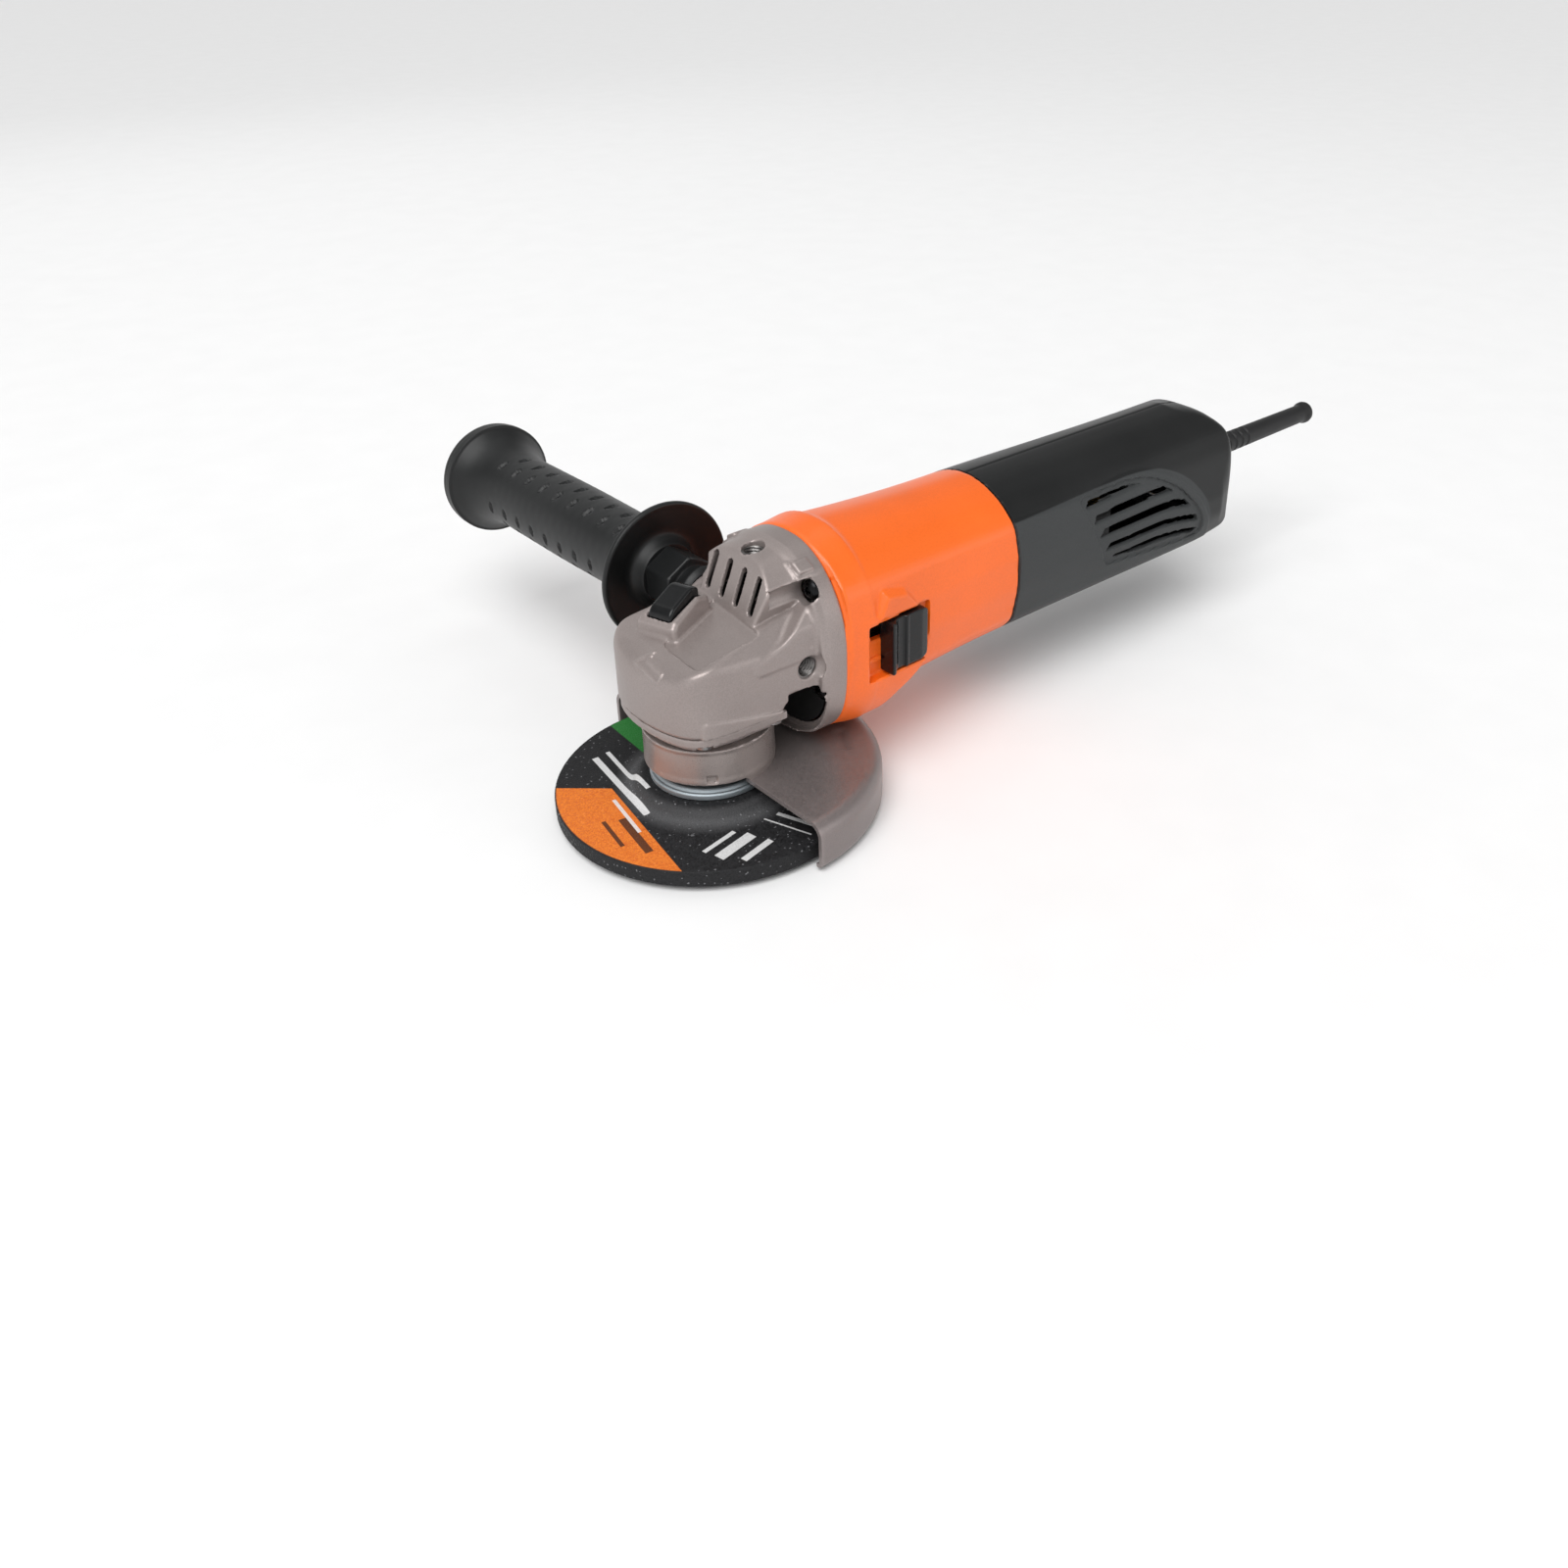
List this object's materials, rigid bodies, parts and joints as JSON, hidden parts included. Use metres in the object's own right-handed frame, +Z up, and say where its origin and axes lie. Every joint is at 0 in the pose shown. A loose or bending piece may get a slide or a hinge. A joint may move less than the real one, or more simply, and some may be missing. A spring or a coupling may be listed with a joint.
{
  "type": "angle grinder",
  "caption": "Mains angle grinder with a bevel-geared spindle, depressed-centre disc, turning guard, slide switch, spindle lock and screw-in side handle.",
  "frame": {"origin": "the spindle's tip, on the spindle's axis, in the plane of the disc's working face", "axes": "+X from the head to the cord, +Y towards the side handle, +Z up along the spindle, away from the disc"},
  "size_m": [0.4335, 0.2595, 0.0985],
  "materials": {
    "cast_grey": "satin metallic paint on die casting",
    "guard_grey": "satin paint on sheet steel",
    "collar_metal": "satin",
    "steel": "turned",
    "dark_steel": "blackened",
    "gear_steel": "ground",
    "lamination": "stacked sheet",
    "bronze": "sintered",
    "brass": "pressed",
    "copper": "enamelled or turned copper",
    "orange_plastic": "semi-gloss moulding",
    "black_plastic": "fine spark texture",
    "black_gloss": "smooth moulding",
    "white_plastic": "moulded nylon",
    "amber_plastic": "moulded case",
    "black_rubber": "soft moulding",
    "abrasive": "resin-bonded grit",
    "carbon": "pressed graphite"
  },
  "bodies": {
    "tool": {"gear_case": "cast_grey", "gear_case_screws": "dark_steel", "bearing_plate": "cast_grey", "bearing_plate_screws": "steel", "spindle_seal": "black_rubber", "spindle_bearing": "steel", "spindle_bearing_circlip": "dark_steel", "spindle_bush": "bronze", "air_deflector": "black_plastic", "front_bearing": "steel", "rear_bearing": "steel", "bearing_sleeve": "black_rubber", "fan_baffle": "black_plastic", "stator_core": "lamination", "stator_coils": "copper", "stator_screws": "steel", "brush_holders": "brass", "brush_caps": "black_plastic", "upper_brush_spring": "steel", "lower_brush_spring": "steel", "lock_spring": "steel", "motor_housing": "orange_plastic", "switch_block": "black_plastic", "capacitor": "amber_plastic", "rear_housing_right": "black_plastic", "rear_housing_left": "black_plastic", "rear_housing_screws": "steel", "cord_clamp": "black_plastic", "cord_clamp_screws": "steel", "cord_sleeve": "black_rubber"},
    "spindle": {"spindle": "steel", "bevel_gear": "gear_steel", "gear_circlip": "dark_steel", "gear_key": "dark_steel", "inner_flange": "steel", "grinding_disc": "abrasive", "lock_nut": "dark_steel"},
    "armature": {"armature_shaft": "steel", "pinion": "gear_steel", "fan": "white_plastic", "armature_core": "lamination", "armature_windings": "copper", "commutator": "copper"},
    "guard": {"guard": "guard_grey", "guard_collar": "collar_metal", "guard_clamp_screw": "steel", "guard_clamp_nut": "steel"},
    "spindle_lock": {"lock_button": "black_gloss", "lock_pin": "steel"},
    "switch": {"switch_slider": "black_gloss", "switch_rod": "black_plastic"},
    "upper_brush": {"upper_brush": "carbon"},
    "lower_brush": {"lower_brush": "carbon"},
    "side_handle": {"handle_grip": "black_plastic", "handle_end_cap": "black_plastic", "handle_collar": "black_plastic", "handle_stud": "steel"}
  },
  "joints": [
    {"name": "armature_spin", "type": "hinge", "parent": "tool", "child": "armature", "pos_m": [0.08, 0, 0.06], "axis": [1, 0, 0], "continuous": true},
    {"name": "spindle_spin", "type": "hinge", "parent": "tool", "child": "spindle", "pos_m": [0, 0, 0.03], "axis": [0, 0, 1], "continuous": true},
    {"name": "guard_turn", "type": "hinge", "parent": "tool", "child": "guard", "pos_m": [0, 0, 0.025], "axis": [0, 0, 1], "range_deg": [-20, 180]},
    {"name": "lock_press", "type": "slide", "parent": "tool", "child": "spindle_lock", "axis": [0, 0, -1], "range_m": [0, 0.0045], "stiffness_N_per_m": 600, "springref_m": -0.002, "deforming": ["lock_spring"]},
    {"name": "switch_slide", "type": "slide", "parent": "tool", "child": "switch", "axis": [-1, 0, 0], "range_m": [0, 0.007]},
    {"name": "upper_brush_lift", "type": "slide", "parent": "tool", "child": "upper_brush", "axis": [0, 0, 1], "range_m": [0, 0.003], "stiffness_N_per_m": 300, "springref_m": -0.006, "deforming": ["upper_brush_spring"]},
    {"name": "lower_brush_lift", "type": "slide", "parent": "tool", "child": "lower_brush", "axis": [0, 0, -1], "range_m": [0, 0.003], "stiffness_N_per_m": 300, "springref_m": -0.006, "deforming": ["lower_brush_spring"]},
    {"name": "handle_screw", "type": "hinge", "parent": "tool", "child": "side_handle", "pos_m": [0.024, 0.05, 0.063], "axis": [0, 1, 0], "continuous": true}
  ],
  "couplings": [
    {"joint": "spindle_spin", "follows": "armature_spin", "ratio": 0.2973}
  ]
}
